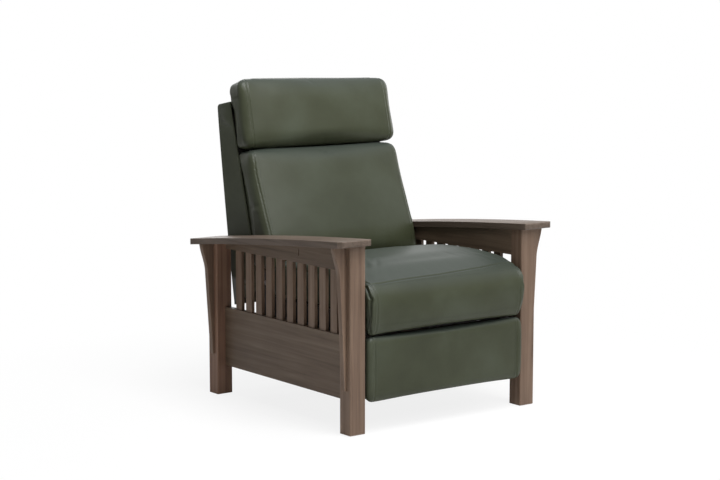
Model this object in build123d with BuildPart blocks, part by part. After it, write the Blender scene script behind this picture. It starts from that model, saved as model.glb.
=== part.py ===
from build123d import *

import os
from math import atan2, cos, degrees, hypot, radians, sin

# Power recliner: slatted wood arm frame, leather seat, back, headrest and footrest,
# and the steel linkage that moves them. Millimetres, +Z up, the sitter faces -Y,
# left and right as seen from the front. Depths are measured back from the front
# faces of the front posts.

os.makedirs("parts", exist_ok=True)

# Wood frame
half_over_posts = 377.5
post_width = 59
post_depth = 54
post_spacing = 744
post_edge = 2.5
glide_radius = 14
glide_thick = 2.5
arm_width = 120
arm_overlap = 5.5
arm_thick = 20
arm_front_reach = 23
arm_rear_reach = 820
arm_front_height = 606
arm_fall = 76
arm_bow = 6
arm_corner = 12
arm_edge = 3
panel_recess = 32
panel_thick = 20
panel_low = 100
panel_high = 299
apron_rear_drop = 33
apron_recess = 36
slat_count = 10
slat_width = 33
slat_gap = 26.2
slat_thick = 12
slat_recess = 36
apron_slot_depth = 320
apron_slot_rise = 33
apron_slot_length = 23
apron_slot_width = 3.5
apron_slot_slant = 6
corbel_thick = 18.5
corbel_setback = 18
corbel_top_reach = 47
corbel_waist_reach = 23.5
corbel_foot_reach = 6
corbel_ogee_drop = 125
corbel_foot_height = 140
rear_rail_low = 110
rear_rail_high = 196
rear_rail_thick = 22
rear_rail_inset = 8
cleat_thick = 24
cleat_low = 236
cleat_high = 290
cleat_front = 116
cleat_rear = 596

# Reach of the upholstery, which sets the middle of the plan
seat_nose_reach = 29
shell_top_rear = 851

# Seat
seat_side_gap = 18.5
seat_bulge = 12
seat_rear = 525
seat_low = 361.9
seat_crown_height = 485
seat_pull = 5
seat_inset = 8
seat_corner = 26
fascia_low = 315
fascia_rear = 21.5
frame_rail_width = 24
frame_rail_low = 300
frame_rail_high = 358
seat_frame_front = 29
frame_front_width = 44
frame_notch_width = 10
frame_notch_length = 30
seat_frame_rear = 530
seat_spring_count = 5
seat_spring_wire = 3.6
seat_spring_wave = 44
seat_spring_steps = 15
seat_spring_margin = 60

# Back, headrest and outer back
back_lean = 15.6
cushion_lean = 21.4
back_line_depth = 650
back_line_height = 545
back_cushion_low = 489
back_cushion_length = 339
back_cushion_low_gap = 10.5
back_cushion_high_gap = 23.5
back_cushion_low_thick = 119
back_cushion_gain = 25
back_cushion_pull = 5
back_corner = 24
headrest_lean = 12
headrest_gap = 0.5
headrest_low_height = 815.5
headrest_length = 222
headrest_thick = 78
headrest_side_gap = 27.5
headrest_crown = 22
headrest_pinch = 4
headrest_pull = 4
headrest_corner = 26
shell_side_gap = 17.5
shell_wall = 4.2
shell_pad = 12
shell_top_front_height = 986
shell_top_rear_height = 973
shell_low_front_height = 375
shell_low_rear_depth = 756
shell_low_rear_height = 300
shell_knee_depth = 789
shell_knee_height = 532
shell_round = 14
back_frame_low = 400
back_frame_high = 950
back_rail_thick = 22
back_rail_depth = 40
back_cross_width = 36
back_recess_length = 120
back_eye_radius = 14
webbing_count = 4
webbing_width = 50
webbing_thick = 1.6

# Number of flats that stand in for each round of the steelwork and its fasteners
end_flat_count = 6
ring_flat_count = 10
pin_flat_count = 8
bolt_flat_count = 8
head_flat_count = 6
barrel_flat_count = 20

# Steel linkage, each pivot as depth and height when closed
plate_thick = 3
link_thick = 4
link_gap = 2
link_width = 21
pin_radius = 5
pin_collar = 8
pin_head = 1.4
running_fit = 0.06
loose_fit = 0.35
side_gap = 0.1
front_pivot_depth = 182.6
front_pivot_height = 262.2
rear_pivot_depth = 224.3
rear_pivot_height = 238.5
board_pivot_depth = 65.6
board_pivot_height = 280.1
bracket_pivot_depth = 82.7
bracket_pivot_height = 239.1
front_link_angle = -42.97
front_link_cross_length = 179.7
front_link_length = 214.7
front_link_knee = 12
front_knee_share = 0.3
middle_link_tail_length = 48.2
rear_link_length = 179.8
rear_crank_angle = -31.36
rear_crank_length = 45.4
back_pivot_depth = 560
back_pivot_height = 400
back_crank_length = 130
back_crank_angle = 17.5
back_crank_width = 24
back_pin_radius = 7
back_pin_collar = 10
back_lug_length = 165
back_lug_width = 22
back_bolt_rises = (50, 92)
drive_tube_radius = 11
drive_tube_wall = 2.5
drive_eye_wall = 6
drive_washer = 4
drive_link_width = 18
rear_stud_radius = 4
plate_front = 110
plate_rear = 604
plate_low = 188
plate_edge_shares = ((0, 0.607), (0.101, 0.464), (0.2126, 0.268), (0.4453, 0.152), (0.911, 0), (1, 0))
plate_heel_shares = ((1, 0.661), (0.988, 0.911))
flange_width = 30
flange_end = 500
ear_half = 17
bolt_radius = 4
bolt_head_radius = 8
bolt_head = 4.5
bolt_bite = 18
plate_bolt_depths = (290, 380, 470)
plate_bolt_height = 272
flange_bolt_depths = (130, 300, 480)
flange_bolt_inset = 12.5
bracket_bolt_depth = 60
bracket_bolt_side = 20

# Power actuator
actuator_pivot_depth = 75
actuator_pivot_height = 232
actuator_tube_radius = 17
actuator_tube_end = 470
actuator_tube_bore = 11.3
actuator_rod_radius = 11
actuator_rod_start = 300
actuator_fork_start = 500
actuator_fork_thick = 10
actuator_fork_radius = 14
motor_cap_radius = 22
motor_cap_length = 8
actuator_fork_gap = 10
actuator_ear_thick = 5
actuator_ear_radius = 12
lug_thick = 8
lug_gap = 1
motor_radius = 30
motor_length = 96
gearbox_length = 95
gearbox_width = 66
gearbox_height = 58
gearbox_front = 16
gearbox_edge = 6
bracket_wall = 4
bracket_inner = 70
bracket_front = 42
bracket_depth = 34
inlet_size = 14
inlet_length = 16
inlet_wall = 2
inlet_pin_radius = 1.5

# Footrest
footrest_side_gap = 8.5
footrest_low = 95
footrest_high = 304
footrest_front_reach = 10
footrest_back_depth = 40
footrest_board_thick = 12
footrest_inset = 8
footrest_corner = 22
footrest_pull = 1.5
footrest_flange = 24
footrest_bracket_low = 118
footrest_bracket_high = 290

# Arm switch
switch_depth = 352
switch_rise = 33
switch_length = 86
switch_tall = 30
switch_thick = 5.6
switch_corner = 6
button_radius = 8
button_fit = 0.3
button_rise = 1.8
button_depth = 3
button_travel = 1.5
button_spacing = 34
button_dish = 0.5

# Shared clearances
cut_over = 5
soft_gap = 0.3

# Depths start at the front posts, and the origin is under the middle of the plan
front_line = (seat_nose_reach - shell_top_rear) / 2
post_inner = half_over_posts - post_width
seat_half_width = post_inner - seat_side_gap
back_cushion_low_half = post_inner - back_cushion_low_gap
back_cushion_high_half = post_inner - back_cushion_high_gap
headrest_half = post_inner - headrest_side_gap
shell_half = post_inner - shell_side_gap
footrest_half = post_inner - footrest_side_gap
arm_rear_height = arm_front_height - arm_fall
apron_low = arm_rear_height - apron_rear_drop
apron_slot_height = apron_low + apron_slot_rise
switch_height = apron_low + switch_rise
rear_post_front = post_spacing
panel_outer = half_over_posts - panel_recess
panel_inner = panel_outer - panel_thick
plate_outer = panel_inner - cleat_thick
plate_inner = plate_outer - plate_thick
flange_bolt_side = plate_inner - flange_bolt_inset
front_pivot = (front_pivot_depth, front_pivot_height)
rear_pivot = (rear_pivot_depth, rear_pivot_height)
board_pivot = (board_pivot_depth, board_pivot_height)
bracket_pivot = (bracket_pivot_depth, bracket_pivot_height)
back_pivot = (back_pivot_depth, back_pivot_height)
actuator_pivot = (actuator_pivot_depth, actuator_pivot_height)


def spot(depth, height):
    """A point of the side view, for sketches on the YZ plane."""
    return (front_line + depth, height)


def polar(start, length, angle):
    """The side-view point at a length and an angle from another."""
    return (start[0] + length * cos(radians(angle)), start[1] + length * sin(radians(angle)))


def direction(start, end):
    return degrees(atan2(end[1] - start[1], end[0] - start[0]))


def distance(start, end):
    return hypot(end[0] - start[0], end[1] - start[1])


def save(piece, name):
    piece.part.label = name
    export_step(piece.part, f"parts/{name}.step")


def save_pair(piece, name):
    """The modelled piece is the right one, and its mirror image is the left."""
    for side, solid in (("right", piece.part), ("left", mirror(piece.part, about=Plane.YZ))):
        solid.label = f"{name}_{side}"
        export_step(solid, f"parts/{name}_{side}.step")


def plane_outer(layer):
    """Outer face of a layer of links, counted inwards from the side plate."""
    return plate_inner - link_gap - (layer - 1) * (link_thick + link_gap)


# Everything under the arm boards stops at their bowed undersides
with BuildPart() as under_arms:
    with BuildSketch(Plane.YZ) as under_arm_side:
        with BuildLine():
            arm_front = spot(-arm_front_reach, arm_front_height - arm_thick)
            arm_rear = spot(arm_rear_reach, arm_rear_height - arm_thick)
            arm_middle = (
                (arm_front[0] + arm_rear[0]) / 2,
                (arm_front[1] + arm_rear[1]) / 2 + arm_bow,
            )
            ThreePointArc(arm_front, arm_middle, arm_rear)
            Polyline(arm_rear, (arm_rear[0], 0), (arm_front[0], 0), arm_front)
        make_face()
    extrude(amount=half_over_posts + arm_width, both=True)

# Arm boards, one bowed plank a side
with BuildPart() as arm_board:
    with BuildSketch(Plane.YZ.offset(post_inner - arm_overlap)):
        with BuildLine():
            lift = Vector(0, arm_thick)
            lower_edge = ThreePointArc(arm_front, arm_middle, arm_rear)
            upper_edge = ThreePointArc(
                Vector(*arm_front) + lift, Vector(*arm_middle) + lift, Vector(*arm_rear) + lift
            )
            Line(lower_edge @ 0, upper_edge @ 0)
            Line(lower_edge @ 1, upper_edge @ 1)
        make_face()
    extrude(amount=arm_width)
    uprights = arm_board.edges().filter_by(Axis.Z)
    chamfer(uprights.group_by(Axis.X)[-1].sort_by(Axis.Y)[0], arm_corner)
    top_face = arm_board.faces().filter_by(Axis.Z, reverse=True).sort_by(Axis.Z)[-1]
    chamfer(top_face.edges(), arm_edge)
save_pair(arm_board, "arm_board")

# Posts, square to the floor, on nail glides
for place, depth in (("front", 0), ("rear", rear_post_front)):
    with BuildPart() as post:
        with BuildSketch(Plane.XY.offset(glide_thick)):
            with Locations((half_over_posts - post_width / 2, front_line + depth + post_depth / 2)):
                Rectangle(post_width, post_depth)
        extrude(amount=arm_front_height)
        chamfer(post.edges().filter_by(Axis.Z), post_edge)
        add(under_arms.part, mode=Mode.INTERSECT)
    save_pair(post, f"{place}_post")

with BuildPart() as foot_glides:
    with BuildSketch():
        for depth in (0, rear_post_front):
            for side in (-1, 1):
                with Locations(
                    (side * (half_over_posts - post_width / 2), front_line + depth + post_depth / 2)
                ):
                    RegularPolygon(glide_radius, barrel_flat_count)
    extrude(amount=glide_thick)
save(foot_glides, "foot_glides")

# Corbels, an ogee bracket on the outer face of each post
for place, depth in (("front", 0), ("rear", rear_post_front)):
    corbel_front = front_line + depth + corbel_setback
    share_back = (depth + corbel_setback + arm_front_reach) / (arm_rear_reach + arm_front_reach)
    corbel_top = arm_front_height - share_back * (arm_front_height - arm_rear_height)
    waist_height = corbel_top - corbel_ogee_drop
    with BuildPart() as corbel:
        with BuildSketch(Plane.XZ.offset(-corbel_front)):
            with BuildLine():
                foot = (half_over_posts + corbel_foot_reach, corbel_foot_height)
                waist = (half_over_posts + corbel_waist_reach, waist_height)
                belly = (
                    half_over_posts + (corbel_top_reach + corbel_waist_reach) / 2,
                    waist_height + corbel_ogee_drop / 2,
                )
                top = (half_over_posts + corbel_top_reach, corbel_top)
                Spline(top, belly, waist, tangents=((0, -1), (0, -1)))
                Polyline(
                    waist,
                    foot,
                    (half_over_posts, corbel_foot_height),
                    (half_over_posts, corbel_top),
                    top,
                )
            make_face()
        extrude(amount=-corbel_thick)
        add(under_arms.part, mode=Mode.INTERSECT)
    save_pair(corbel, f"{place}_corbel")

# Arm sides: apron over slats over a solid lower panel, between the posts
side_length = rear_post_front - post_depth
side_middle = front_line + (rear_post_front + post_depth) / 2

with BuildPart() as apron:
    with BuildSketch(Plane.XY.offset(apron_low)):
        with Locations((half_over_posts - apron_recess - panel_thick / 2, side_middle)):
            Rectangle(panel_thick, side_length)
    extrude(amount=arm_front_height - apron_low)
    add(under_arms.part, mode=Mode.INTERSECT)

left_apron = mirror(apron.part, about=Plane.YZ)
with BuildPart() as slotted_apron:
    add(left_apron)
    slot_place = Plane.YZ.offset(-half_over_posts)
    with BuildSketch(slot_place):
        with Locations(spot(apron_slot_depth, apron_slot_height)):
            SlotOverall(apron_slot_length, apron_slot_width, rotation=90 + apron_slot_slant)
    extrude(amount=apron_recess + panel_thick + cut_over, mode=Mode.SUBTRACT)
apron.part.label = "apron_right"
export_step(apron.part, "parts/apron_right.step")
save(slotted_apron, "apron_left")

with BuildPart() as side_panel:
    with BuildSketch(Plane.XY.offset(panel_low)):
        with Locations((panel_outer - panel_thick / 2, side_middle)):
            Rectangle(panel_thick, side_length)
    extrude(amount=panel_high - panel_low)
save_pair(side_panel, "side_panel")

with BuildPart() as slats:
    with BuildSketch(Plane.XY.offset(panel_high)):
        with Locations((half_over_posts - slat_recess - slat_thick / 2, side_middle)):
            with GridLocations(0, slat_width + slat_gap, 1, slat_count):
                Rectangle(slat_thick, slat_width)
    extrude(amount=apron_low - panel_high)
save_pair(slats, "slats")

# Low rail between the rear posts, and the cleats that carry the mechanism
with BuildPart() as rear_rail:
    with BuildSketch(Plane.XY.offset(rear_rail_low)):
        with Locations(
            (0, front_line + rear_post_front + post_depth - rear_rail_inset - rear_rail_thick / 2)
        ):
            Rectangle(2 * post_inner, rear_rail_thick)
    extrude(amount=rear_rail_high - rear_rail_low)
save(rear_rail, "rear_rail")

with BuildPart() as cleats:
    with BuildSketch(Plane.XY.offset(cleat_low)):
        for side in (-1, 1):
            with Locations(
                (side * (panel_inner - cleat_thick / 2), front_line + (cleat_front + cleat_rear) / 2)
            ):
                Rectangle(cleat_thick, cleat_rear - cleat_front)
    extrude(amount=cleat_high - cleat_low)
    with BuildSketch(Plane.YZ.offset(plate_outer)):
        for depth in plate_bolt_depths:
            with Locations(spot(depth, plate_bolt_height)):
                RegularPolygon(bolt_radius, bolt_flat_count)
    bolt_holes = extrude(amount=bolt_bite, mode=Mode.SUBTRACT)
    mirror(bolt_holes, about=Plane.YZ, mode=Mode.SUBTRACT)
save(cleats, "mounting_cleats")

# Seat frame: four hardwood rails screwed down on the plate flanges
seat_frame_half = plate_outer - link_gap / 2
seat_frame_length = seat_frame_rear - seat_frame_front
with BuildPart() as seat_frame:
    with BuildSketch(Plane.XY.offset(frame_rail_low)):
        with Locations((0, front_line + (seat_frame_front + seat_frame_rear) / 2)):
            Rectangle(2 * seat_frame_half, seat_frame_length)
        well_front = seat_frame_front + frame_front_width
        well_rear = seat_frame_rear - frame_rail_width
        with Locations((0, front_line + (well_front + well_rear) / 2)):
            Rectangle(
                2 * (seat_frame_half - frame_rail_width), well_rear - well_front, mode=Mode.SUBTRACT
            )
        for side in (-1, 1):
            with Locations((side * seat_frame_half, front_line + seat_frame_rear)):
                Rectangle(2 * frame_notch_width, 2 * frame_notch_length, mode=Mode.SUBTRACT)
    extrude(amount=frame_rail_high - frame_rail_low)
    with BuildSketch(Plane.XY.offset(frame_rail_low)):
        for side in (-1, 1):
            for depth in flange_bolt_depths:
                with Locations((side * flange_bolt_side, front_line + depth)):
                    RegularPolygon(bolt_radius, bolt_flat_count)
            with Locations((side * bracket_bolt_side, front_line + bracket_bolt_depth)):
                RegularPolygon(bolt_radius, bolt_flat_count)
    extrude(amount=bolt_bite, mode=Mode.SUBTRACT)
save(seat_frame, "seat_frame")

# Sinuous springs across the seat frame, front to rear
spring_reach = seat_frame_rear - seat_frame_front - frame_rail_width
spring_step = spring_reach / (seat_spring_steps - 1)
spring_pitch = 2 * (seat_frame_half - seat_spring_margin) / (seat_spring_count - 1)
with BuildPart() as seat_springs:
    with BuildSketch(Plane.XY.offset(frame_rail_high)):
        for count in range(seat_spring_count):
            spring_middle = (count - (seat_spring_count - 1) / 2) * spring_pitch
            wave = []
            for step in range(seat_spring_steps):
                swing = seat_spring_wave / 2 * (-1) ** step
                depth = seat_frame_front + frame_rail_width / 2 + step * spring_step
                for shift in (-spring_step / 4, spring_step / 4):
                    wave.append((spring_middle + swing, front_line + depth + shift))
            with BuildLine():
                zigzag = Polyline(*wave)
            trace(zigzag, seat_spring_wire)
    extrude(amount=seat_spring_wire)
save(seat_springs, "seat_springs")


def soft_outline(plane, low_half, high_half, low, high, pulls, corner):
    """A cushion outline: four sides, each drawn in by its pull, and round corners."""
    corners = [
        Vector(-low_half, low),
        Vector(low_half, low),
        Vector(high_half, high),
        Vector(-high_half, high),
    ]
    with BuildSketch(plane) as outline:
        with BuildLine():
            for index, here in enumerate(corners):
                before = corners[index - 1]
                after = corners[(index + 1) % len(corners)]
                enter = here + (before - here).normalized() * corner
                leave = here + (after - here).normalized() * corner
                bend = here + ((enter + leave) / 2 - here) * (2 - 2 ** 0.5)
                ThreePointArc(enter, bend, leave)
                arrive = after + (here - after).normalized() * corner
                inward = (after - here).normalized().rotate(Axis.Z, 90)
                if pulls[index]:
                    ThreePointArc(leave, (leave + arrive) / 2 + inward * pulls[index], arrive)
                else:
                    Line(leave, arrive)
        make_face()
    return outline.sketch


# Seat cushion: a crowned top whose padded front rolls over and hangs before the frame.
# Each row holds the shares of its height, of its reach forward and of its inset.
seat_shares = (
    (0, 0.28, 1.5),
    (0.2, 0.88, 0.6),
    (0.54, 1, 0),
    (0.73, 0.78, 0.1),
    (0.86, 0.28, 0.8),
    (0.925, -0.25, 2),
    (0.968, -1.1, 4.6),
    (1, -3.3, 12.2),
)
with BuildPart() as seat_cushion:
    outlines = []
    for rise_share, forward_share, inset_share in seat_shares:
        inset = inset_share * seat_inset
        half = seat_half_width + seat_bulge - inset
        outlines.append(
            soft_outline(
                Plane.XY.offset(fascia_low + rise_share * (seat_crown_height - fascia_low)),
                half,
                half,
                front_line - forward_share * seat_nose_reach + seat_pull,
                front_line + seat_rear - inset,
                (-seat_pull, seat_pull, 0, seat_pull),
                seat_corner,
            )
        )
    loft(outlines, ruled=True)
    under_low = fascia_low - cut_over
    under_front = front_line + fascia_rear
    under_rear = front_line + seat_rear + cut_over
    with BuildSketch(Plane.XY.offset(under_low)):
        with Locations((0, (under_front + under_rear) / 2)):
            Rectangle(2 * half_over_posts, under_rear - under_front)
    extrude(amount=seat_low - under_low, mode=Mode.SUBTRACT)
save(seat_cushion, "seat_cushion")


def lean_plane(depth, height, angle):
    """A plane facing the sitter's front, leaning back by an angle."""
    tilt = radians(angle)
    return Plane(
        origin=(0, front_line + depth, height),
        x_dir=(1, 0, 0),
        z_dir=(0, -cos(tilt), sin(tilt)),
    )


# Back frame: a wood ladder behind the cushion, recessed for the steel brackets
lean_back = radians(back_lean)
frame_back = back_line_depth + (webbing_thick + soft_gap) / cos(lean_back)
frame_plane = lean_plane(frame_back, back_line_height, back_lean)
frame_low = (back_frame_low - back_line_height) / cos(lean_back)
frame_high = (back_frame_high - back_line_height) / cos(lean_back)
frame_half = shell_half - shell_wall
bracket_face = plane_outer(1) - link_thick
window_low = frame_low + back_cross_width
window_high = frame_high - back_cross_width


def back_bolt_spot(rise):
    """Middle of the back frame's rail, at a rise along it from its lower end."""
    along = frame_low + rise
    half_deep = back_rail_depth / 2
    return (
        frame_back + along * sin(lean_back) + half_deep * cos(lean_back),
        back_line_height + along * cos(lean_back) - half_deep * sin(lean_back),
    )


with BuildPart() as back_frame:
    with BuildSketch(frame_plane):
        with Locations((0, (frame_low + frame_high) / 2)):
            Rectangle(2 * frame_half, frame_high - frame_low)
        with Locations((0, (window_low + window_high) / 2)):
            Rectangle(
                2 * (bracket_face - back_rail_thick), window_high - window_low, mode=Mode.SUBTRACT
            )
    extrude(amount=-back_rail_depth)
    with BuildSketch(frame_plane.offset(cut_over)):
        for side in (-1, 1):
            recess_middle = side * (frame_half + cut_over + bracket_face) / 2
            with Locations((recess_middle, frame_low - cut_over / 2)):
                Rectangle(
                    frame_half + cut_over - bracket_face, 2 * back_recess_length + cut_over
                )
    extrude(amount=-back_rail_depth - 2 * cut_over, mode=Mode.SUBTRACT)
    with BuildSketch(Plane.YZ.offset(bracket_face)):
        for rise in back_bolt_rises:
            with Locations(spot(*back_bolt_spot(rise))):
                RegularPolygon(bolt_radius, bolt_flat_count)
    bolt_holes = extrude(amount=-back_rail_thick, mode=Mode.SUBTRACT)
    mirror(bolt_holes, about=Plane.YZ, mode=Mode.SUBTRACT)
save(back_frame, "back_frame")

# Elastic webbing across the front of the back frame
with BuildPart() as webbing:
    with BuildSketch(frame_plane):
        webbing_step = (window_high - window_low) / webbing_count
        with Locations((0, (window_low + window_high) / 2)):
            with GridLocations(0, webbing_step, 1, webbing_count):
                Rectangle(2 * frame_half - back_rail_thick, webbing_width)
    extrude(amount=webbing_thick)
save(webbing, "back_webbing")

# Outer back: padded rear, side wings and top, open in front and below
shell_plane = Plane.YZ
shell_front = soft_gap / cos(lean_back)
shell_low_front_depth = (
    back_line_depth - (back_line_height - shell_low_front_height) * sin(lean_back) / cos(lean_back)
)
shell_top_front_depth = (
    back_line_depth + (shell_top_front_height - back_line_height) * sin(lean_back) / cos(lean_back)
)
shell_points = (
    (shell_low_front_depth + shell_front, shell_low_front_height),
    (shell_low_rear_depth, shell_low_rear_height),
    (shell_knee_depth, shell_knee_height),
    (shell_top_rear, shell_top_rear_height),
    (shell_top_front_depth + shell_front, shell_top_front_height),
)
with BuildPart() as outer_back:
    with BuildSketch(shell_plane):
        with BuildLine():
            Polyline(*[spot(*point) for point in shell_points], close=True)
        make_face()
    extrude(amount=shell_half, both=True)
    rear_edges = outer_back.edges().filter_by(Axis.X).sort_by(Axis.Y)
    fillet(rear_edges[-1], shell_round)
    with BuildSketch(shell_plane):
        with BuildLine():
            Polyline(
                spot(shell_low_front_depth - cut_over, shell_low_rear_height - cut_over),
                spot(shell_low_rear_depth - shell_pad, shell_low_rear_height - cut_over),
                spot(shell_low_rear_depth - shell_pad, shell_low_rear_height),
                spot(shell_knee_depth - shell_pad, shell_knee_height),
                spot(shell_top_rear - shell_pad, shell_top_rear_height - shell_pad),
                spot(shell_top_front_depth, shell_top_front_height - shell_pad),
                spot(shell_low_front_depth - cut_over, shell_top_front_height - shell_pad),
                close=True,
            )
        make_face()
    extrude(amount=shell_half - shell_wall, both=True, mode=Mode.SUBTRACT)
save(outer_back, "outer_back")

# Back cushion: a pillow whose front leans more than its rear
cushion_rear_depth = back_line_depth - (back_line_height - back_cushion_low) * sin(
    lean_back
) / cos(lean_back)
cushion_shares = ((0, 1.6), (0.12, 0), (0.66, 0), (0.86, 1), (0.95, 3), (1, 8))
with BuildPart() as back_cushion:
    outlines = []
    for thick_share, inset_share in cushion_shares:
        inset = inset_share * back_cushion_pull
        pull = back_cushion_pull
        outlines.append(
            soft_outline(
                lean_plane(
                    cushion_rear_depth - thick_share * back_cushion_low_thick,
                    back_cushion_low,
                    back_lean + thick_share * (cushion_lean - back_lean),
                ),
                back_cushion_low_half - inset,
                back_cushion_high_half - inset,
                inset,
                back_cushion_length + thick_share * back_cushion_gain - inset,
                (pull, pull, pull / 2, pull),
                back_corner,
            )
        )
    loft(outlines, ruled=True)
save(back_cushion, "back_cushion")

# Headrest: a shorter pillow with a crowned top
headrest_shares = (
    (0, 2, 0),
    (0.12, 0, 0.5),
    (0.4, 0, 0.9),
    (0.7, 0, 1),
    (0.86, 1.5, 0.8),
    (0.95, 4, 0.4),
    (1, 9, 0),
)
headrest_tilt = radians(headrest_lean)
headrest_climb = headrest_low_height - back_line_height
headrest_low_depth = (
    back_line_depth + headrest_climb * sin(lean_back) / cos(lean_back) - headrest_gap
)
with BuildPart() as headrest:
    outlines = []
    for thick_share, inset_share, crown_share in headrest_shares:
        inset = inset_share * headrest_pull
        forward = thick_share * headrest_thick
        outlines.append(
            soft_outline(
                lean_plane(
                    headrest_low_depth - forward * cos(headrest_tilt),
                    headrest_low_height + forward * sin(headrest_tilt),
                    headrest_lean,
                ),
                headrest_half - headrest_pinch - inset,
                headrest_half - inset,
                inset,
                headrest_length + crown_share * headrest_crown - inset,
                (headrest_pull, 0, -headrest_pull / 2, 0),
                headrest_corner,
            )
        )
    loft(outlines, ruled=True)
save(headrest, "headrest")


def bar(start, end, width):
    """A straight bar with rounded ends between two side-view points."""
    turn = direction(start, end)
    rim = []
    for middle, first in ((end, turn - 90), (start, turn + 90)):
        for step in range(end_flat_count + 1):
            rim.append(spot(*polar(middle, width / 2, first + step * 180 / end_flat_count)))
    Polygon(*rim, align=None)


def eye(point, radius, mode=Mode.ADD, flats=ring_flat_count):
    """A boss or a fixed pin's hole at a side-view point."""
    with Locations(spot(*point)):
        RegularPolygon(radius, flats, mode=mode)


def bore(point, radius):
    """A round hole that turns on a pin at a side-view point."""
    with Locations(spot(*point)):
        Circle(radius, mode=Mode.SUBTRACT)


def turned(point, radius, inner, outer, flats=pin_flat_count):
    """A disc or shank across the linkage between two distances from the middle."""
    with BuildSketch(Plane.YZ.offset(inner)) as disc:
        eye(point, radius, flats=flats)
    extrude(disc.sketch, amount=outer - inner)


# Pivots of the linkage when it is closed
eye_hole = pin_radius + running_fit
cross_pivot = polar(front_pivot, front_link_cross_length, front_link_angle)
outer_pivot = polar(front_pivot, front_link_length, front_link_angle)
middle_angle = direction(cross_pivot, board_pivot)
tail_pivot = polar(cross_pivot, -middle_link_tail_length, middle_angle)
crank_pivot = polar(rear_pivot, rear_crank_length, rear_crank_angle)
tube_pivot = polar(back_pivot, back_crank_length, back_crank_angle - 90)
lug_pivot = polar(back_pivot, back_lug_length, back_crank_angle - 90)
front_knee = polar(
    polar(front_pivot, front_link_cross_length * front_knee_share, front_link_angle),
    front_link_knee,
    front_link_angle - 90,
)
layer_one = plane_outer(1)
layer_two = plane_outer(2)
layer_three = plane_outer(3)

# Side plates, screwed to the cleats, with a flange under the seat frame and an ear for the back
plate_length = plate_rear - plate_front
plate_height = frame_rail_low - plate_low
with BuildPart() as side_plate:
    with BuildSketch(Plane.YZ.offset(plate_inner)):
        lower_points = []
        for along_share, rise_share in plate_edge_shares + plate_heel_shares:
            lower_points.append(
                spot(plate_front + along_share * plate_length, plate_low + rise_share * plate_height)
            )
        with BuildLine():
            Polyline(
                spot(plate_front, frame_rail_low),
                *lower_points,
                spot(back_pivot_depth + ear_half, frame_rail_low + flange_width / 2),
                spot(back_pivot_depth + ear_half, back_pivot_height),
                spot(back_pivot_depth - ear_half, back_pivot_height),
                spot(back_pivot_depth - ear_half, frame_rail_low),
                close=True,
            )
        make_face()
        eye(back_pivot, ear_half)
    extrude(amount=plate_thick)
    with BuildSketch(Plane.XY.offset(frame_rail_low - plate_thick)):
        with Locations((plate_inner - flange_width / 2, front_line + (plate_front + flange_end) / 2)):
            Rectangle(flange_width, flange_end - plate_front)
    extrude(amount=plate_thick)
    with BuildSketch(Plane.YZ.offset(plate_inner)):
        eye(front_pivot, pin_radius, flats=pin_flat_count)
        eye(rear_pivot, rear_stud_radius, flats=pin_flat_count)
        eye(back_pivot, back_pin_radius, flats=pin_flat_count)
        for depth in plate_bolt_depths:
            eye((depth, plate_bolt_height), bolt_radius, flats=bolt_flat_count)
    extrude(amount=plate_thick, mode=Mode.SUBTRACT)
    with BuildSketch(Plane.XY.offset(frame_rail_low - plate_thick)):
        for depth in flange_bolt_depths:
            with Locations((flange_bolt_side, front_line + depth)):
                RegularPolygon(bolt_radius, bolt_flat_count)
    extrude(amount=plate_thick, mode=Mode.SUBTRACT)
save_pair(side_plate, "side_plate")

# Front links, kneed to pass the rear studs when closed
with BuildPart() as front_link:
    with BuildSketch(Plane.YZ.offset(layer_one)):
        bar(front_pivot, front_knee, link_width)
        bar(front_knee, cross_pivot, link_width)
        bar(cross_pivot, outer_pivot, link_width)
        bore(front_pivot, eye_hole)
        eye(cross_pivot, pin_radius, Mode.SUBTRACT, pin_flat_count)
        eye(outer_pivot, pin_radius, Mode.SUBTRACT, pin_flat_count)
    extrude(amount=-link_thick)
save_pair(front_link, "front_link")

# Middle links, from the rear links past the front links to the footrest brackets
with BuildPart() as middle_link:
    with BuildSketch(Plane.YZ.offset(layer_two)):
        bar(tail_pivot, board_pivot, link_width)
        eye(tail_pivot, pin_radius, Mode.SUBTRACT, pin_flat_count)
        bore(cross_pivot, eye_hole)
        eye(board_pivot, pin_radius, Mode.SUBTRACT, pin_flat_count)
    extrude(amount=-link_thick)
save_pair(middle_link, "middle_link")

# Rear links, bell cranks turned by the drive links
rivet_rise = link_gap / 2 - side_gap
with BuildPart() as rear_link:
    with BuildSketch(Plane.YZ.offset(layer_three)):
        bar(rear_pivot, tail_pivot, link_width)
        bar(rear_pivot, crank_pivot, link_width)
        bore(rear_pivot, rear_stud_radius + running_fit)
        bore(tail_pivot, pin_radius + loose_fit)
    extrude(amount=-link_thick)
    turned(crank_pivot, pin_collar, layer_three, layer_three + rivet_rise)
    turned(crank_pivot, pin_collar, layer_three - link_thick - pin_head, layer_three - link_thick)
save_pair(rear_link, "rear_link")

# Outer links, which tip the footrest level
with BuildPart() as outer_link:
    with BuildSketch(Plane.YZ.offset(plate_inner)):
        bar(outer_pivot, bracket_pivot, link_width)
        bore(outer_pivot, eye_hole)
    extrude(amount=plate_thick)
    turned(bracket_pivot, pin_collar, plate_outer, plate_outer + pin_head)
    turned(bracket_pivot, pin_collar, plate_inner - rivet_rise, plate_inner)
save_pair(outer_link, "outer_link")

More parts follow.
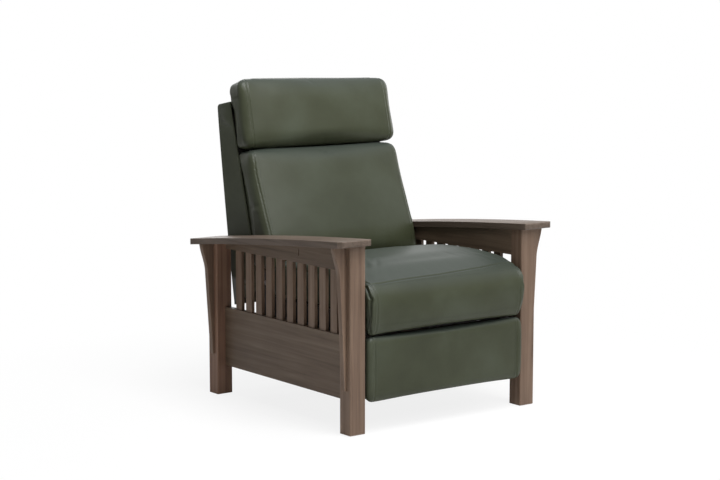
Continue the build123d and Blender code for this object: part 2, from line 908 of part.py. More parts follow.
# Drive links, from the back's drive tube to the rear links' cranks
with BuildPart() as drive_link:
    with BuildSketch(Plane.YZ.offset(layer_two)):
        bar(crank_pivot, tube_pivot, drive_link_width)
        eye(tube_pivot, drive_tube_radius + drive_eye_wall)
        bore(tube_pivot, drive_tube_radius + running_fit)
    extrude(amount=-link_thick)
    turned(crank_pivot, pin_collar, layer_two, layer_two + pin_head)
    turned(
        crank_pivot, pin_collar, layer_two - link_thick - rivet_rise, layer_two - link_thick
    )
save_pair(drive_link, "drive_link")

# Back brackets: bolted in the recess of the back frame, hinged at the ears, cranked below
bracket_bolts = [back_bolt_spot(rise) for rise in back_bolt_rises]
with BuildPart() as back_bracket:
    with BuildSketch(Plane.YZ.offset(layer_one)):
        eye(back_pivot, ear_half)
        for point in bracket_bolts:
            eye(point, back_eye_radius)
        make_hull()
    extrude(amount=-link_thick)
    with BuildSketch(Plane.YZ.offset(layer_one)):
        bar(back_pivot, tube_pivot, back_crank_width)
        eye(tube_pivot, drive_tube_radius + drive_eye_wall)
    extrude(amount=-link_thick)
    with BuildSketch(Plane.YZ.offset(layer_one)):
        with Locations(spot(*back_pivot)):
            Circle(back_pin_radius + running_fit)
        for point in bracket_bolts:
            eye(point, bolt_radius, flats=bolt_flat_count)
    extrude(amount=-link_thick, mode=Mode.SUBTRACT)
save_pair(back_bracket, "back_bracket")

# Drive tube between the cranks, with washers beside the drive links and a lug in the middle
with BuildPart() as drive_tube:
    tube_end = layer_one - link_thick
    with BuildSketch(Plane.YZ.offset(-tube_end)):
        eye(tube_pivot, drive_tube_radius)
        eye(tube_pivot, drive_tube_radius - drive_tube_wall, Mode.SUBTRACT)
    extrude(amount=2 * tube_end)
    for side in (-1, 1):
        for inner, outer in (
            (layer_two + side_gap, tube_end),
            (layer_two - link_thick - link_gap + side_gap, layer_two - link_thick - side_gap),
        ):
            with BuildSketch(Plane.YZ.offset(side * inner)):
                eye(tube_pivot, drive_tube_radius + drive_washer)
                eye(tube_pivot, drive_tube_radius, Mode.SUBTRACT)
            extrude(amount=side * (outer - inner))
    with BuildSketch(Plane.YZ.offset(-lug_thick / 2)):
        bar(tube_pivot, lug_pivot, back_lug_width)
        eye(tube_pivot, drive_tube_radius, Mode.SUBTRACT)
    extrude(amount=lug_thick)
save(drive_tube, "drive_tube")

# Actuator bracket: a bent channel under the front rail of the seat frame
cheek_out = bracket_inner / 2 + bracket_wall
with BuildPart() as actuator_bracket:
    with BuildSketch(Plane.XY.offset(frame_rail_low - bracket_wall)):
        with Locations((0, front_line + bracket_front + bracket_depth / 2)):
            Rectangle(2 * cheek_out, bracket_depth)
        for side in (-1, 1):
            with Locations((side * bracket_bolt_side, front_line + bracket_bolt_depth)):
                RegularPolygon(bolt_radius, bolt_flat_count, mode=Mode.SUBTRACT)
    extrude(amount=bracket_wall)
    for side in (-1, 1):
        with BuildSketch(Plane.YZ.offset(side * bracket_inner / 2)):
            with Locations(
                spot(bracket_front + bracket_depth / 2, frame_rail_low - bracket_wall * 3 / 2)
            ):
                Rectangle(bracket_depth, bracket_wall)
            eye(actuator_pivot, actuator_ear_radius)
            make_hull()
            eye(actuator_pivot, pin_radius, Mode.SUBTRACT, pin_flat_count)
        extrude(amount=side * bracket_wall)
save(actuator_bracket, "actuator_bracket")

# Actuator: gearbox, motor, tube, and the rod whose fork holds the drive tube's lug
actuator_angle = direction(actuator_pivot, lug_pivot)
actuator_reach = distance(actuator_pivot, lug_pivot)


def along_actuator(reach):
    """The plane square to the actuator at a distance from its pivot."""
    point = spot(*polar(actuator_pivot, reach, actuator_angle))
    lift = radians(actuator_angle)
    return Plane(origin=(0, *point), x_dir=(1, 0, 0), z_dir=(0, cos(lift), sin(lift)))


with BuildPart() as gearbox:
    with BuildSketch(along_actuator(-gearbox_front)):
        RectangleRounded(gearbox_width, gearbox_height, gearbox_edge)
    extrude(amount=gearbox_length)
    with BuildSketch(Plane.YZ):
        with Locations(spot(*actuator_pivot)):
            Circle(eye_hole)
    extrude(amount=gearbox_width, both=True, mode=Mode.SUBTRACT)
save(gearbox, "gearbox")

motor_spot = polar(actuator_pivot, gearbox_length - gearbox_front - motor_radius, actuator_angle)
with BuildPart() as motor:
    motor_end = gearbox_width / 2 + motor_length
    turned(motor_spot, motor_radius, gearbox_width / 2, motor_end, barrel_flat_count)
    turned(
        motor_spot, motor_cap_radius, motor_end, motor_end + motor_cap_length, barrel_flat_count
    )
save(motor, "motor")

# Socket for the supply lead on the side of the gearbox
with BuildPart() as power_inlet:
    with BuildSketch(Plane.YZ.offset(-gearbox_width / 2)):
        with Locations(spot(*motor_spot)):
            Rectangle(2 * inlet_size, inlet_size)
    extrude(amount=-inlet_length)
    with BuildSketch(Plane.YZ.offset(-gearbox_width / 2 - inlet_length)):
        with Locations(spot(*motor_spot)):
            Rectangle(2 * (inlet_size - inlet_wall), inlet_size - 2 * inlet_wall)
            with GridLocations(inlet_size, 0, 2, 1):
                RegularPolygon(inlet_pin_radius, bolt_flat_count, mode=Mode.SUBTRACT)
    extrude(amount=inlet_length - 2 * inlet_wall, mode=Mode.SUBTRACT)
save(power_inlet, "power_inlet")

with BuildPart() as actuator_tube:
    tube_start = gearbox_length - gearbox_front
    with BuildSketch(along_actuator(tube_start)):
        RegularPolygon(actuator_tube_radius, barrel_flat_count)
        RegularPolygon(actuator_tube_bore, barrel_flat_count, mode=Mode.SUBTRACT)
    extrude(amount=actuator_tube_end - actuator_pivot_depth - tube_start)
save(actuator_tube, "actuator_tube")

with BuildPart() as actuator_rod:
    with BuildSketch(along_actuator(actuator_rod_start)):
        RegularPolygon(actuator_rod_radius, barrel_flat_count)
    extrude(amount=actuator_fork_start - actuator_rod_start)
    with BuildSketch(along_actuator(actuator_fork_start)):
        RegularPolygon(actuator_fork_radius, barrel_flat_count)
    extrude(amount=actuator_fork_thick)
    fork_root = polar(actuator_pivot, actuator_fork_start + actuator_fork_thick, actuator_angle)
    for side in (-1, 1):
        ear_inner = side * (lug_thick / 2 + lug_gap)
        with BuildSketch(Plane.YZ.offset(ear_inner)):
            bar(fork_root, lug_pivot, 2 * actuator_ear_radius)
        extrude(amount=side * actuator_ear_thick)
        with BuildSketch(Plane.YZ.offset(ear_inner + side * actuator_ear_thick)):
            eye(lug_pivot, pin_collar)
        extrude(amount=side * pin_head)
save(actuator_rod, "actuator_rod")

# Footrest: padded panel on a board, and the angle brackets behind it
footrest_back = footrest_back_depth - footrest_board_thick
with BuildPart() as footrest_board:
    board_half = footrest_half - footrest_inset
    board_low = footrest_low + footrest_inset
    board_high = footrest_high - footrest_inset
    with BuildSketch(lean_plane(footrest_back_depth, 0, 0)):
        with Locations((0, (board_low + board_high) / 2)):
            RectangleRounded(2 * board_half, board_high - board_low, footrest_inset)
    extrude(amount=footrest_board_thick)
save(footrest_board, "footrest_board")

footrest_shares = ((0, 1.5), (0.15, 0), (0.6, 0), (0.8, 1.5), (0.93, 6), (1, 14))
with BuildPart() as footrest_pad:
    pad_thick = footrest_back - soft_gap + footrest_front_reach
    outlines = []
    for thick_share, inset_share in footrest_shares:
        inset = inset_share * footrest_pull
        outlines.append(
            soft_outline(
                lean_plane(footrest_back - soft_gap - thick_share * pad_thick, 0, 0),
                footrest_half - footrest_pull - inset,
                footrest_half - footrest_pull - inset,
                footrest_low + inset,
                footrest_high - inset,
                (0, -footrest_pull, footrest_pull, -footrest_pull),
                footrest_corner,
            )
        )
    loft(outlines, ruled=True)
save(footrest_pad, "footrest_pad")

with BuildPart() as footrest_bracket:
    flange_middle = (footrest_bracket_low + footrest_bracket_high) / 2
    flange_tall = footrest_bracket_high - footrest_bracket_low
    with BuildSketch(Plane.YZ.offset(layer_one)):
        with Locations(spot(footrest_back_depth + link_thick / 2, flange_middle)):
            Rectangle(link_thick, flange_tall)
        eye(board_pivot, link_width / 2)
        eye(bracket_pivot, link_width / 2)
        make_hull()
        bore(board_pivot, eye_hole)
    extrude(amount=-link_thick)
    with BuildSketch(lean_plane(footrest_back_depth, 0, 0)):
        with Locations((layer_one - footrest_flange / 2, flange_middle)):
            Rectangle(footrest_flange, flange_tall)
    extrude(amount=-link_thick)
    turned(bracket_pivot, pin_collar, layer_one, layer_one + rivet_rise)
    turned(bracket_pivot, pin_collar, layer_one - link_thick - pin_head, layer_one - link_thick)
save_pair(footrest_bracket, "footrest_bracket")

# Arm switch on the inner face of the left apron: a housing and two buttons
apron_inner = half_over_posts - apron_recess - panel_thick
switch_face = apron_inner - switch_thick
with BuildPart() as switch_housing:
    with BuildSketch(Plane.YZ.offset(-apron_inner)):
        with Locations(spot(switch_depth, switch_height)):
            RectangleRounded(switch_length, switch_tall, switch_corner)
            with GridLocations(button_spacing, 0, 2, 1):
                RegularPolygon(
                    button_radius + button_fit, barrel_flat_count, mode=Mode.SUBTRACT
                )
    extrude(amount=switch_thick)
save(switch_housing, "switch_housing")

for side, name in ((-1, "recline_button"), (1, "close_button")):
    with BuildPart() as button:
        with BuildSketch(Plane.YZ.offset(-switch_face - button_depth)):
            button_spot = (switch_depth + side * button_spacing / 2, switch_height)
            eye(button_spot, button_radius, flats=barrel_flat_count)
        extrude(amount=button_depth + button_rise)
        rim = button.faces().sort_by(Axis.X)[-1].edges()
        chamfer(rim, button_dish)
    save(button, name)

# Pins that stand on the side plates and the bracket: front links, rear links, back, actuator
with BuildPart() as frame_pins:
    head_end = layer_one - link_thick - side_gap
    turned(front_pivot, pin_radius, head_end - pin_head, plate_outer)
    turned(front_pivot, pin_collar, layer_one + side_gap, plate_inner)
    turned(front_pivot, pin_collar, head_end - pin_head, head_end)
    rear_head = layer_three - link_thick - side_gap
    turned(rear_pivot, rear_stud_radius, rear_head - pin_head, plate_outer)
    turned(rear_pivot, pin_collar, plate_inner - rivet_rise, plate_inner)
    turned(rear_pivot, pin_collar, layer_three + side_gap, layer_three + link_gap - side_gap)
    turned(rear_pivot, pin_collar, rear_head - pin_head, rear_head)
    turned(back_pivot, back_pin_radius, head_end - pin_head, plate_outer + pin_head)
    turned(back_pivot, back_pin_collar, plate_outer, plate_outer + pin_head)
    turned(back_pivot, back_pin_collar, layer_one + side_gap, plate_inner)
    turned(back_pivot, back_pin_collar, head_end - pin_head, head_end)
    mirror(about=Plane.YZ)
    turned(actuator_pivot, pin_radius, -cheek_out - pin_head, cheek_out + pin_head)
    turned(actuator_pivot, pin_collar, cheek_out, cheek_out + pin_head)
    turned(actuator_pivot, pin_collar, -cheek_out - pin_head, -cheek_out)
save(frame_pins, "frame_pins")

# Pins riveted in the front links, for the middle links and the outer links
with BuildPart() as front_link_pins:
    cross_head = layer_two - link_thick - side_gap
    turned(cross_pivot, pin_radius, cross_head - pin_head, layer_one)
    turned(cross_pivot, pin_collar, layer_two + side_gap, layer_one - link_thick)
    turned(cross_pivot, pin_collar, cross_head - pin_head, cross_head)
    outer_head = plate_outer + side_gap
    turned(outer_pivot, pin_radius, layer_one - link_thick, outer_head + pin_head)
    turned(outer_pivot, pin_collar, layer_one, plate_inner - side_gap)
    turned(outer_pivot, pin_collar, outer_head, outer_head + pin_head)
    mirror(about=Plane.YZ)
save(front_link_pins, "front_link_pins")

# Pins riveted in the middle links, for the footrest brackets and the rear links
with BuildPart() as middle_link_pins:
    board_head = layer_one + side_gap
    turned(board_pivot, pin_radius, layer_two - link_thick, board_head + pin_head)
    turned(board_pivot, pin_collar, layer_two, layer_one - link_thick - side_gap)
    turned(board_pivot, pin_collar, board_head, board_head + pin_head)
    tail_head = layer_three - link_thick - side_gap
    turned(tail_pivot, pin_radius, tail_head - pin_head, layer_two)
    turned(tail_pivot, pin_collar, layer_three + side_gap, layer_two - link_thick)
    turned(tail_pivot, pin_collar, tail_head - pin_head, tail_head)
    mirror(about=Plane.YZ)
save(middle_link_pins, "middle_link_pins")

# Bolts: side plates to cleats, seat frame to flanges, bracket to seat frame
with BuildPart() as bolts:
    for depth in plate_bolt_depths:
        bolt_spot = (depth, plate_bolt_height)
        turned(bolt_spot, bolt_radius, plate_inner, plate_outer + bolt_bite, bolt_flat_count)
        turned(bolt_spot, bolt_head_radius, plate_inner - bolt_head, plate_inner, head_flat_count)
    upright_spots = []
    for depth in flange_bolt_depths:
        upright_spots.append((flange_bolt_side, depth, frame_rail_low - plate_thick))
    upright_spots.append((bracket_bolt_side, bracket_bolt_depth, frame_rail_low - bracket_wall))
    for across, depth, seat in upright_spots:
        with BuildSketch(Plane.XY.offset(seat - bolt_head)):
            with Locations((across, front_line + depth)):
                RegularPolygon(bolt_head_radius, head_flat_count)
        extrude(amount=bolt_head)
        with BuildSketch(Plane.XY.offset(seat)):
            with Locations((across, front_line + depth)):
                RegularPolygon(bolt_radius, bolt_flat_count)
        extrude(amount=frame_rail_low + bolt_bite - seat)
    mirror(about=Plane.YZ)
save(bolts, "bolts")

# Bolts of the back frame, headed on the inner side of its rails
with BuildPart() as back_bolts:
    rail_face = bracket_face - back_rail_thick
    for point in bracket_bolts:
        turned(point, bolt_radius, rail_face, layer_one, bolt_flat_count)
        turned(point, bolt_head_radius, rail_face - bolt_head, rail_face, head_flat_count)
    mirror(about=Plane.YZ)
save(back_bolts, "back_bolts")
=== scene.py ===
import bmesh
import bpy
from math import cos, radians, sin, tanh
from mathutils import Matrix, Vector, kdtree
from mathutils.bvhtree import BVHTree


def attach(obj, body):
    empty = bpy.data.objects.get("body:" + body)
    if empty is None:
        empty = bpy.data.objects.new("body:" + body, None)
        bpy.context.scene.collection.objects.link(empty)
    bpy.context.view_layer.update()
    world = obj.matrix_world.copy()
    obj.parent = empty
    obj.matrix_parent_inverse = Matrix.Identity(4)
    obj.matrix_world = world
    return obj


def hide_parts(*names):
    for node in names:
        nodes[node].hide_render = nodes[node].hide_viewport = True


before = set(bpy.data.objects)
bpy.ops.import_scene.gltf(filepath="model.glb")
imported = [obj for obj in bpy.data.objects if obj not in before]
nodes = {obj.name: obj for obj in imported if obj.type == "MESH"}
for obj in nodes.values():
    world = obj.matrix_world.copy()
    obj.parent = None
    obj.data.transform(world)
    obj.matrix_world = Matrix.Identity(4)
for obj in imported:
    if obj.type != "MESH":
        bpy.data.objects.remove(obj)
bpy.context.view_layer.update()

# The camera stands to the front left of the chair at about chest height and looks
# slightly down, with a long lens, so uprights stay nearly parallel.
camera_data = bpy.data.cameras.new("camera")
camera = bpy.data.objects.new("camera", camera_data)
bpy.context.scene.collection.objects.link(camera)
camera.location = (-3.5338, -4.6250, 1.3007)
camera.rotation_euler = (radians(90 - 7.51), 0, radians(-37.16))
camera_data.sensor_width = 36
camera_data.lens = 88.48
camera_data.clip_end = 60
bpy.context.scene.camera = camera

# Four posts of solid hardwood, stained a grey walnut brown and sealed with a satin
# lacquer. Their grain runs upright, in fine dark streaks and short pores, and the
# rear pair comes from a redder, lighter plank.


def node_of(tree, kind, **values):
    """A shader node with some of its properties and inputs set."""
    made = tree.nodes.new(kind)
    for key, value in values.items():
        if hasattr(made, key):
            setattr(made, key, value)
        else:
            made.inputs[key.replace("_", " ")].default_value = value
    return made


def new_finish(name):
    """A new material, its node tree, its shader and a node with the piece's coordinates."""
    finish = bpy.data.materials.new(name)
    finish.use_nodes = True
    tree = finish.node_tree
    shader = tree.nodes["Principled BSDF"]
    return finish, tree, shader, tree.nodes.new("ShaderNodeTexCoord")


def pattern_of(tree, coords, kind, **values):
    """A texture or mapping node that reads the piece's coordinates."""
    made = node_of(tree, kind, **values)
    tree.links.new(coords, made.inputs["Vector"])
    return made


def ramp_of(tree, source, stops):
    """A colour ramp over a source, from pairs of stop and colour."""
    ramp = tree.nodes.new("ShaderNodeValToRGB")
    tree.links.new(source, ramp.inputs["Fac"])
    elements = ramp.color_ramp.elements
    elements[0].position, elements[0].color = stops[0][0], (*stops[0][1], 1)
    elements[1].position, elements[1].color = stops[-1][0], (*stops[-1][1], 1)
    for stop, colour in stops[1:-1]:
        elements.new(stop).color = (*colour, 1)
    return ramp.outputs["Color"]


def range_of(tree, source, low, high, start=0.0, end=1.0):
    """A source between start and end, carried over to between low and high."""
    made = node_of(
        tree, "ShaderNodeMapRange", From_Min=start, From_Max=end, To_Min=low, To_Max=high
    )
    tree.links.new(source, made.inputs["Value"])
    return made.outputs["Result"]


def bump_of(tree, source, strength, distance):
    """A bump node over a source of height."""
    made = node_of(tree, "ShaderNodeBump", Strength=strength, Distance=distance)
    tree.links.new(source, made.inputs["Height"])
    return made


def edge_wear(tree, radius, strength):
    """A factor that rises from nothing on flat faces to a strength along edges."""
    eased = node_of(tree, "ShaderNodeBevel", samples=4, Radius=radius)
    flat = tree.nodes.new("ShaderNodeNewGeometry")
    turn = node_of(tree, "ShaderNodeVectorMath", operation="DOT_PRODUCT")
    tree.links.new(eased.outputs["Normal"], turn.inputs[0])
    tree.links.new(flat.outputs["Normal"], turn.inputs[1])
    return range_of(tree, turn.outputs["Value"], 0.0, strength, 0.995, 0.90)


def stained_wood(name, grain, dark, middle, light, shift=0.0):
    """Stained, satin lacquered wood with its grain along an axis."""
    finish, tree, shader, coords = new_finish(name)
    along, over = 2.2, 70
    lay = pattern_of(
        tree,
        coords.outputs["Object"],
        "ShaderNodeMapping",
        Scale=[along if axis == grain else over for axis in "XYZ"],
        Location=(shift, shift * 1.7, shift * 0.6),
    ).outputs["Vector"]
    streak = pattern_of(
        tree, lay, "ShaderNodeTexNoise", Scale=1.0, Detail=6.0, Roughness=0.62, Distortion=0.35
    )
    figure = ramp_of(tree, streak.outputs["Fac"], ((0.30, dark), (0.50, middle), (0.72, light)))
    cloud = pattern_of(
        tree, coords.outputs["Object"], "ShaderNodeTexNoise", Scale=5.5, Detail=3.0, Roughness=0.5
    )
    shaded, full = (0.78, 0.76, 0.75), (1.0, 1.0, 1.0)
    shade = ramp_of(tree, cloud.outputs["Fac"], ((0.30, shaded), (0.70, full)))
    tint = node_of(tree, "ShaderNodeMix", data_type="RGBA", blend_type="MULTIPLY")
    tint.inputs["Factor"].default_value = 0.75
    tree.links.new(figure, tint.inputs["A"])
    tree.links.new(shade, tint.inputs["B"])
    rubbed = node_of(tree, "ShaderNodeMix", data_type="RGBA")
    rubbed.inputs["B"].default_value = (*(tone * 1.45 for tone in light), 1)
    tree.links.new(edge_wear(tree, 0.0022, 0.45), rubbed.inputs["Factor"])
    tree.links.new(tint.outputs["Result"], rubbed.inputs["A"])
    tree.links.new(rubbed.outputs["Result"], shader.inputs["Base Color"])
    pores = pattern_of(tree, lay, "ShaderNodeTexNoise", Scale=6.0, Detail=2.0, Roughness=0.7)
    gloss = range_of(tree, pores.outputs["Fac"], 0.36, 0.56)
    tree.links.new(gloss, shader.inputs["Roughness"])
    bump = bump_of(tree, pores.outputs["Fac"], 0.22, 0.0006)
    tree.links.new(bump.outputs["Normal"], shader.inputs["Normal"])
    shader.inputs["Specular IOR Level"].default_value = 0.26
    return finish


def dress(names, finish, rounding=0.0):
    """Gives a finish to CAD pieces whose shape is already right, and rounds their edges."""
    for name in names:
        piece = nodes[name]
        piece.data.materials.clear()
        piece.data.materials.append(finish)
        if rounding:
            weld = piece.modifiers.new("closed mesh", "WELD")
            weld.merge_threshold = 0.00001
            round_over = piece.modifiers.new("eased edges", "BEVEL")
            round_over.width = rounding
            round_over.segments = 2
            round_over.limit_method = "ANGLE"
            round_over.angle_limit = radians(32)


stain_dark = (0.108, 0.068, 0.046)
stain_middle = (0.163, 0.108, 0.075)
stain_light = (0.212, 0.146, 0.104)
upright_stain = stained_wood("upright stained wood", "Z", stain_dark, stain_middle, stain_light)
dress(["front_post_left", "front_post_right"], upright_stain, 0.0009)
rear_stain = stained_wood(
    "rear post stained wood",
    "Z",
    (0.150, 0.082, 0.052),
    (0.230, 0.134, 0.090),
    (0.295, 0.180, 0.124),
    shift=1.6,
)
dress(["rear_post_left", "rear_post_right"], rear_stain, 0.0009)

# Corbels, sawn to an ogee and glued to the posts' outer faces under the arm boards.
# Each comes from another plank, so its grain lies a little off the post's.
corbel_stain = stained_wood(
    "corbel stained wood", "Z", stain_dark, stain_middle, stain_light, shift=3.1
)
dress(
    [f"{end}_corbel_{side}" for end in ("front", "rear") for side in ("left", "right")],
    corbel_stain,
    0.0012,
)

# Arm boards, steam bent planks with eased edges and a clipped outer front corner,
# glued down on the posts. Their tops are stained a cooler brown than the uprights.
arm_stain = stained_wood(
    "arm board stained wood",
    "Y",
    (0.070, 0.050, 0.037),
    (0.104, 0.077, 0.059),
    (0.140, 0.106, 0.084),
    shift=5.3,
)
dress(["arm_board_left", "arm_board_right"], arm_stain, 0.0012)

# Aprons and lower side panels, flat boards let in between the posts with the
# grain lengthwise, a little darker than the posts.
panel_stain = stained_wood(
    "side panel stained wood",
    "Y",
    (0.082, 0.055, 0.036),
    (0.124, 0.086, 0.058),
    (0.162, 0.116, 0.080),
    shift=8.7,
)
dress(["apron_left", "apron_right", "side_panel_left", "side_panel_right"], panel_stain)

# Slats, thin upright hardwood strips with eased edges, each with its own streaks.
# Their ends are let into the apron above and the side panel below.
slat_stain = stained_wood(
    "slat stained wood",
    "Z",
    (0.104, 0.066, 0.043),
    (0.165, 0.110, 0.075),
    (0.218, 0.152, 0.108),
    shift=12.4,
)
dress(["slats_left", "slats_right"], slat_stain, 0.0012)

# Rear rail, footrest board and mounting cleats, plain hardwood with a thin dark
# wash, glued and screwed in where little is seen of them.
wash = ((0.060, 0.042, 0.032), (0.085, 0.060, 0.046), (0.110, 0.080, 0.062))
hidden_stain = stained_wood("washed hardwood", "X", *wash, shift=2.0)
dress(["rear_rail", "footrest_board"], hidden_stain)
cleat_wash = stained_wood("washed cleat wood", "Y", *wash, shift=6.0)
dress(["mounting_cleats"], cleat_wash)

# Seat frame and back frame, hardwood rails glued at their corners and washed near black. On the
# seat frame the black stands for the dark cloth that wraps a real seat box; on the back frame it
# is painted shade, so that nothing pale shows past the cushions.
black_cloth_and_shade = stained_wood(
    "near black wood and painted shade", "X", (0.010, 0.009, 0.008), (0.016, 0.014, 0.012), (0.024, 0.021, 0.018)
)
dress(["seat_frame", "back_frame"], black_cloth_and_shade)

# Floor glides of hard black nylon, moulded with a faint grain and fixed under the
# feet of the posts.


def moulded_plastic(name, colour, roughness):
    """Moulded plastic with a faint spark eroded grain."""
    finish, tree, shader, coords = new_finish(name)
    own = coords.outputs["Object"]
    cloud = pattern_of(tree, own, "ShaderNodeTexNoise", Scale=40.0, Detail=2.0)
    worn = tuple(min(1, c * 1.5 + 0.01) for c in colour)
    tone = ramp_of(tree, cloud.outputs["Fac"], ((0.35, colour), (0.75, worn)))
    tree.links.new(tone, shader.inputs["Base Color"])
    grain = pattern_of(tree, own, "ShaderNodeTexNoise", Scale=1800.0, Detail=1.0)
    bump = bump_of(tree, grain.outputs["Fac"], 0.25, 0.0002)
    tree.links.new(bump.outputs["Normal"], shader.inputs["Normal"])
    shader.inputs["Roughness"].default_value = roughness
    return finish


black_nylon = moulded_plastic("black nylon", (0.014, 0.014, 0.015), 0.55)
dress(["foot_glides"], black_nylon)

# Seat springs of oil tempered wire, black and slightly glossy, bent to and fro and
# hooked to the seat frame's front and rear rails.


def coated_steel(name, colour, roughness, metallic=0.0):
    """Steel under paint, oil or plating, with dull patches where it has rubbed."""
    finish, tree, shader, coords = new_finish(name)
    patch = pattern_of(
        tree, coords.outputs["Object"], "ShaderNodeTexNoise", Scale=28.0, Detail=4.0, Roughness=0.6
    )
    dull = tuple(min(1, c * 1.35 + 0.006) for c in colour)
    tone = ramp_of(tree, patch.outputs["Fac"], ((0.38, colour), (0.72, dull)))
    bare = node_of(tree, "ShaderNodeMix", data_type="RGBA")
    bare.inputs["B"].default_value = (*(min(1, c * 2 + 0.06) for c in colour), 1)
    tree.links.new(edge_wear(tree, 0.0012, 0.4), bare.inputs["Factor"])
    tree.links.new(tone, bare.inputs["A"])
    tree.links.new(bare.outputs["Result"], shader.inputs["Base Color"])
    gloss = range_of(tree, patch.outputs["Fac"], roughness - 0.08, roughness + 0.10)
    tree.links.new(gloss, shader.inputs["Roughness"])
    shader.inputs["Metallic"].default_value = metallic
    return finish


spring_wire = coated_steel("tempered spring wire", (0.035, 0.034, 0.034), 0.38, 0.6)
dress(["seat_springs"], spring_wire)

# Back webbing, straps of grey brown woven rubber stretched across the back frame
# and fixed to its sides.


def woven_cloth(name, warp, weft, threads):
    """A plain weave of two yarns, with that many threads to the metre."""
    finish, tree, shader, coords = new_finish(name)
    over = node_of(tree, "ShaderNodeMath", operation="MULTIPLY")
    for number, run in enumerate("XZ"):
        wave = pattern_of(
            tree,
            coords.outputs["Object"],
            "ShaderNodeTexWave",
            bands_direction=run,
            Scale=threads / 6.28,
        )
        tree.links.new(wave.outputs["Fac"], over.inputs[number])
    tone = ramp_of(tree, over.outputs["Value"], ((0.2, warp), (0.7, weft)))
    tree.links.new(tone, shader.inputs["Base Color"])
    bump = bump_of(tree, over.outputs["Value"], 0.5, 0.0005)
    tree.links.new(bump.outputs["Normal"], shader.inputs["Normal"])
    shader.inputs["Roughness"].default_value = 0.85
    return finish


woven_rubber = woven_cloth("woven webbing", (0.07, 0.065, 0.055), (0.17, 0.16, 0.14), 900)
dress(["back_webbing"], woven_rubber)

# Mechanism of stamped plates, links and brackets and one cross tube, steel in satin
# black enamel that is rubbed thin along the edges. The plates are bolted to the
# frames, and the links turn on pins in them.
black_enamel = coated_steel("satin black enamel", (0.018, 0.018, 0.019), 0.42)
dress(
    [
        f"{part}_{side}"
        for part in (
            "side_plate",
            "front_link",
            "middle_link",
            "rear_link",
            "outer_link",
            "drive_link",
            "back_bracket",
            "footrest_bracket",
        )
        for side in ("left", "right")
    ]
    + ["drive_tube", "actuator_bracket"],
    black_enamel,
)

# Pins, bolts and the actuator's sliding rod, turned and headed steel under bright
# zinc plate. They hold the links, the plates and the frames together.
zinc_plate = coated_steel("bright zinc plate", (0.42, 0.42, 0.44), 0.34, 1.0)
dress(
    ["frame_pins", "front_link_pins", "middle_link_pins", "bolts", "back_bolts", "actuator_rod"],
    zinc_plate,
)

# Actuator: gearbox, motor, supply inlet and outer tube in black moulded nylon,
# hung in its bracket under the seat.
dress(["gearbox", "motor", "power_inlet", "actuator_tube"], black_nylon)

# Arm switch, a black nylon housing let into the left apron, with two dished buttons
# of a softer grey black plastic that are pressed in against springs.
dress(["switch_housing"], black_nylon)
grey_plastic = moulded_plastic("grey button plastic", (0.04, 0.04, 0.042), 0.45)
dress(["recline_button", "close_button"], grey_plastic)

# Seat cushion: foam and wadding in one leather cover. The top panel is seamed to
# a padded fascia that rolls over the front edge, and boxings close its ends, where
# the slack leather is laid in pleats. A topstitched hem runs above its lower edge.


def dyed_leather(name, deep, body, pale, top):
    """Dark green leather: pebbled grain, soft mottling, and a painted grey sheen on faces that
    point up.
    """
    finish, tree, shader, coords = new_finish(name)
    own = coords.outputs["Object"]
    cloud = pattern_of(tree, own, "ShaderNodeTexNoise", Scale=4.6, Detail=5.0, Roughness=0.52)
    tone = ramp_of(tree, cloud.outputs["Fac"], ((0.32, deep), (0.50, body), (0.76, pale)))
    # Painted sheen: the colour is mixed towards the last, greyer colour as the surface turns to
    # face up, in place of light falling on the tops.
    facing = tree.nodes.new("ShaderNodeSeparateXYZ")
    tree.links.new(coords.outputs["Normal"], facing.inputs["Vector"])
    top_sheen_mix = node_of(tree, "ShaderNodeMix", data_type="RGBA")
    top_sheen_mix.inputs["B"].default_value = (*top, 1)
    painted_top_sheen = range_of(tree, facing.outputs["Z"], 0.0, 1.0, 0.25, 0.90)
    tree.links.new(painted_top_sheen, top_sheen_mix.inputs["Factor"])
    tree.links.new(tone, top_sheen_mix.inputs["A"])
    tree.links.new(top_sheen_mix.outputs["Result"], shader.inputs["Base Color"])
    pebble = pattern_of(
        tree, own, "ShaderNodeTexVoronoi", feature="SMOOTH_F1", Scale=640.0, Smoothness=0.6
    )
    crease = pattern_of(tree, own, "ShaderNodeTexNoise", Scale=34.0, Detail=3.0, Roughness=0.55)
    fine = bump_of(tree, pebble.outputs["Distance"], 0.22, 0.0003)
    soft = bump_of(tree, crease.outputs["Fac"], 0.12, 0.003)
    tree.links.new(fine.outputs["Normal"], soft.inputs["Normal"])
    tree.links.new(soft.outputs["Normal"], shader.inputs["Normal"])
    gloss = range_of(tree, cloud.outputs["Fac"], 0.36, 0.46)
    tree.links.new(gloss, shader.inputs["Roughness"])
    shader.inputs["Specular IOR Level"].default_value = 0.22
    return finish


# The last colour is the painted grey sheen of upward faces.
green_leather = dyed_leather(
    "dark green leather",
    (0.028, 0.032, 0.016),
    (0.036, 0.041, 0.022),
    (0.051, 0.059, 0.038),
    (0.037, 0.045, 0.037),
)


def apply_all(piece):
    """Makes the piece's modifiers part of its mesh."""
    shown = piece.evaluated_get(bpy.context.evaluated_depsgraph_get())
    applied = bpy.data.meshes.new_from_object(shown)
    piece.modifiers.clear()
    old = piece.data
    piece.data = applied
    bpy.data.meshes.remove(old)


